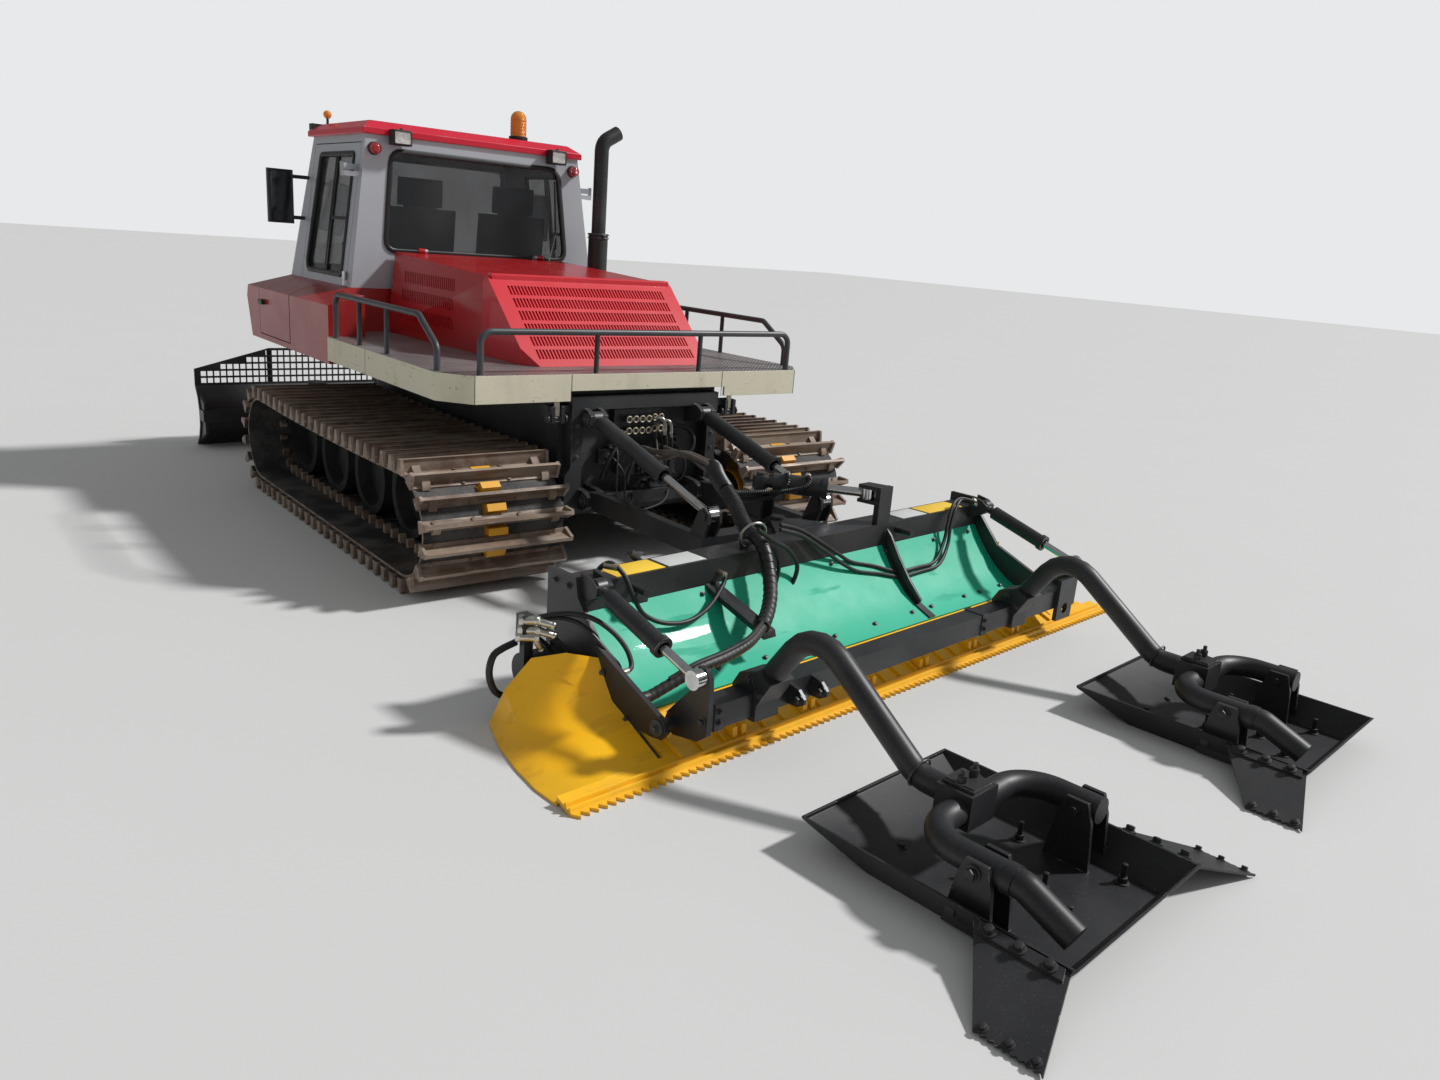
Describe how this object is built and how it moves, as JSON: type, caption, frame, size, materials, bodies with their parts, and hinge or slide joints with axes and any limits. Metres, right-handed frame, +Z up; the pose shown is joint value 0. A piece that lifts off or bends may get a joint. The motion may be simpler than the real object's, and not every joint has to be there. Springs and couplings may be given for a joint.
{
  "type": "snow groomer",
  "caption": "Tracked snow groomer with cab, hood, load deck, front blade, lifted rear tiller and two bent-tube track setting pans.",
  "frame": {"origin": "on the ground under the middle of the whole outline, rear tool included", "axes": "+Z up, +Y to the front of the machine, +X to its right"},
  "size_m": [3.4819, 7.4423, 2.472],
  "materials": {
    "hull_black": "satin",
    "deck_cream": "satin",
    "rail_grey": "satin",
    "track_brown": "rough",
    "wheel_black": "matte",
    "tooth_yellow": "matte",
    "cab_red": "gloss",
    "cab_silver": "satin",
    "cab_glass": "clear",
    "seat_black": "matte",
    "engine_dark": "rough",
    "exhaust_black": "matte",
    "lamp_black": "satin",
    "signal_red": "gloss",
    "hood_red": "gloss",
    "grille_red": "satin",
    "tool_black": "satin",
    "rod_chrome": "polished",
    "cover_teal": "satin",
    "comb_yellow": "satin",
    "rotor_steel": "rough",
    "pan_black": "satin",
    "coupler_steel": "satin",
    "hose_black": "matte"
  },
  "bodies": {
    "chassis": {"hull_frame": "hull_black", "rear_portal": "tool_black", "coupler_bank": "coupler_steel", "deck": "deck_cream", "deck_rails": "rail_grey", "track_left": "track_brown", "track_right": "track_brown", "wheels_left": "wheel_black", "wheels_right": "wheel_black", "sprocket_left": "tooth_yellow", "sprocket_right": "tooth_yellow", "cab_lower": "cab_red", "cab_upper": "cab_silver", "cab_roof": "cab_red", "cab_glass": "cab_glass", "seats": "seat_black", "console": "lamp_black", "engine_block": "engine_dark", "exhaust_stack": "exhaust_black", "work_lamps": "lamp_black", "signal_lamps": "signal_red", "mirrors": "lamp_black", "front_mount": "hull_black", "portal_hoses": "hose_black"},
    "hood_lid": {"hood": "hood_red", "grille": "grille_red"},
    "door_left": {"door_left": "cab_red", "glass_left": "cab_glass"},
    "door_right": {"door_right": "cab_red", "glass_right": "cab_glass"},
    "blade_arm": {"blade_frame": "tool_black"},
    "blade_plate": {"blade": "tool_black", "blade_screen": "tool_black"},
    "blade_barrel_pair": {"blade_barrels": "tool_black"},
    "blade_rod_pair": {"blade_rods": "rod_chrome"},
    "angle_barrel_body": {"angle_barrel": "tool_black"},
    "angle_rod_body": {"angle_rod": "rod_chrome"},
    "rear_arm": {"rear_lift": "tool_black"},
    "lift_barrel_pair": {"lift_barrels": "tool_black"},
    "lift_rod_pair": {"lift_rods": "rod_chrome"},
    "swing_barrel_body": {"swing_barrel": "tool_black"},
    "swing_rod_body": {"swing_rod": "rod_chrome"},
    "rear_tool": {"tool_beam": "tool_black", "tiller_cover": "cover_teal", "comb": "comb_yellow", "end_bowls": "comb_yellow", "setter_barrels": "tool_black", "tool_loom": "hose_black", "tool_hoses": "hose_black"},
    "rotor_body": {"rotor": "rotor_steel"},
    "setter_rod_pair": {"setter_rods": "rod_chrome"},
    "setter": {"setter_bar": "tool_black", "tow_tubes": "tool_black"},
    "pan_left_body": {"pan_left": "pan_black"},
    "pan_right_body": {"pan_right": "pan_black"}
  },
  "joints": [
    {"name": "door_left_hinge", "type": "hinge", "parent": "chassis", "child": "door_left", "pos_m": [-0.8854, 1.945, 1.5], "axis": [0, 0, 1], "range_deg": [0, 68]},
    {"name": "door_right_hinge", "type": "hinge", "parent": "chassis", "child": "door_right", "pos_m": [0.8506, 1.945, 1.5], "axis": [0, 0, -1], "range_deg": [0, 68]},
    {"name": "hood_hinge", "type": "hinge", "parent": "chassis", "child": "hood_lid", "pos_m": [-0.0174, 1.828, 1.54], "axis": [-1, 0, 0], "range_deg": [0, 42]},
    {"name": "blade_lift", "type": "hinge", "parent": "chassis", "child": "blade_arm", "pos_m": [-0.0174, 2.413, 0.4], "axis": [1, 0, 0], "range_deg": [-3, 22]},
    {"name": "blade_lift_barrel", "type": "hinge", "parent": "chassis", "child": "blade_barrel_pair", "pos_m": [-0.0174, 2.428, 0.76], "axis": [1, 0, 0], "range_deg": [-2.48, 17.86]},
    {"name": "blade_lift_rod", "type": "slide", "parent": "blade_barrel_pair", "child": "blade_rod_pair", "axis": [0, 0.8963, -0.4435], "range_m": [-0.1351, 0.0189]},
    {"name": "blade_angle", "type": "hinge", "parent": "blade_arm", "child": "blade_plate", "pos_m": [-0.0174, 3.293, 0.33], "axis": [0, 0, 1], "range_deg": [-14, 14]},
    {"name": "blade_angle_barrel", "type": "hinge", "parent": "blade_arm", "child": "angle_barrel_body", "pos_m": [-0.3474, 2.753, 0.455], "axis": [0, 0, 1], "range_deg": [-5.69, 5.69]},
    {"name": "blade_angle_rod", "type": "slide", "parent": "angle_barrel_body", "child": "angle_rod_body", "axis": [-0.3579, 0.9337, 0], "range_m": [-0.1251, 0.1251]},
    {"name": "rear_lift_hinge", "type": "hinge", "parent": "chassis", "child": "rear_arm", "pos_m": [-0.0174, -0.177, 0.4], "axis": [-1, 0, 0], "range_deg": [-3, 26]},
    {"name": "lift_barrel_hinge", "type": "hinge", "parent": "chassis", "child": "lift_barrel_pair", "pos_m": [-0.0174, -0.159, 0.82], "axis": [-1, 0, 0], "range_deg": [-2.95, 25.2]},
    {"name": "lift_rod_slide", "type": "slide", "parent": "lift_barrel_pair", "child": "lift_rod_pair", "axis": [0, -0.9644, -0.2643], "range_m": [-0.1917, 0.0226]},
    {"name": "tool_swing", "type": "hinge", "parent": "rear_arm", "child": "rear_tool", "pos_m": [-0.0174, -1.207, 0.4], "axis": [0, 0, 1], "range_deg": [-17, 6.8]},
    {"name": "swing_barrel_hinge", "type": "hinge", "parent": "rear_arm", "child": "swing_barrel_body", "pos_m": [0.0576, -0.982, 0.64], "axis": [0, 0, 1], "range_deg": [-13.17, 5.3]},
    {"name": "swing_rod_slide", "type": "slide", "parent": "swing_barrel_body", "child": "swing_rod_body", "axis": [0.6654, -0.7465, 0], "range_m": [-0.0243, 0.06]},
    {"name": "rotor_spin", "type": "hinge", "parent": "rear_tool", "child": "rotor_body", "pos_m": [-0.05365, -1.39865, 0.178], "axis": [0.9959, 0.0906, 0], "continuous": true},
    {"name": "setter_lift", "type": "hinge", "parent": "rear_tool", "child": "setter", "pos_m": [-0.001, -1.97726, 0.144], "axis": [-0.9959, -0.0906, 0], "range_deg": [-4, 25]},
    {"name": "setter_rod_slide", "type": "slide", "parent": "rear_tool", "child": "setter_rod_pair", "axis": [0.0868, -0.9541, -0.2865], "range_m": [-0.1059, 0.0174]},
    {"name": "pan_left_pitch", "type": "hinge", "parent": "setter", "child": "pan_left_body", "pos_m": [-0.81406, -3.26023, 0.19], "axis": [0.9959, 0.0906, 0], "range_deg": [-12, 12]},
    {"name": "pan_right_pitch", "type": "hinge", "parent": "setter", "child": "pan_right_body", "pos_m": [0.86699, -3.10724, 0.19], "axis": [0.9959, 0.0906, 0], "range_deg": [-12, 12]}
  ],
  "couplings": [
    {"joint": "blade_lift_barrel", "follows": "blade_lift", "ratio": 0.7937},
    {"joint": "blade_lift_rod", "follows": "blade_lift", "m_per_rad": -0.34363},
    {"joint": "blade_angle_barrel", "follows": "blade_angle", "ratio": 0.39478},
    {"joint": "blade_angle_rod", "follows": "blade_angle", "m_per_rad": -0.50002},
    {"joint": "lift_barrel_hinge", "follows": "rear_lift_hinge", "ratio": 0.94843},
    {"joint": "lift_rod_slide", "follows": "rear_lift_hinge", "m_per_rad": -0.41317},
    {"joint": "swing_barrel_hinge", "follows": "tool_swing", "ratio": 0.75659},
    {"joint": "swing_rod_slide", "follows": "tool_swing", "m_per_rad": -0.19659},
    {"joint": "setter_rod_slide", "follows": "setter_lift", "m_per_rad": -0.23687}
  ]
}
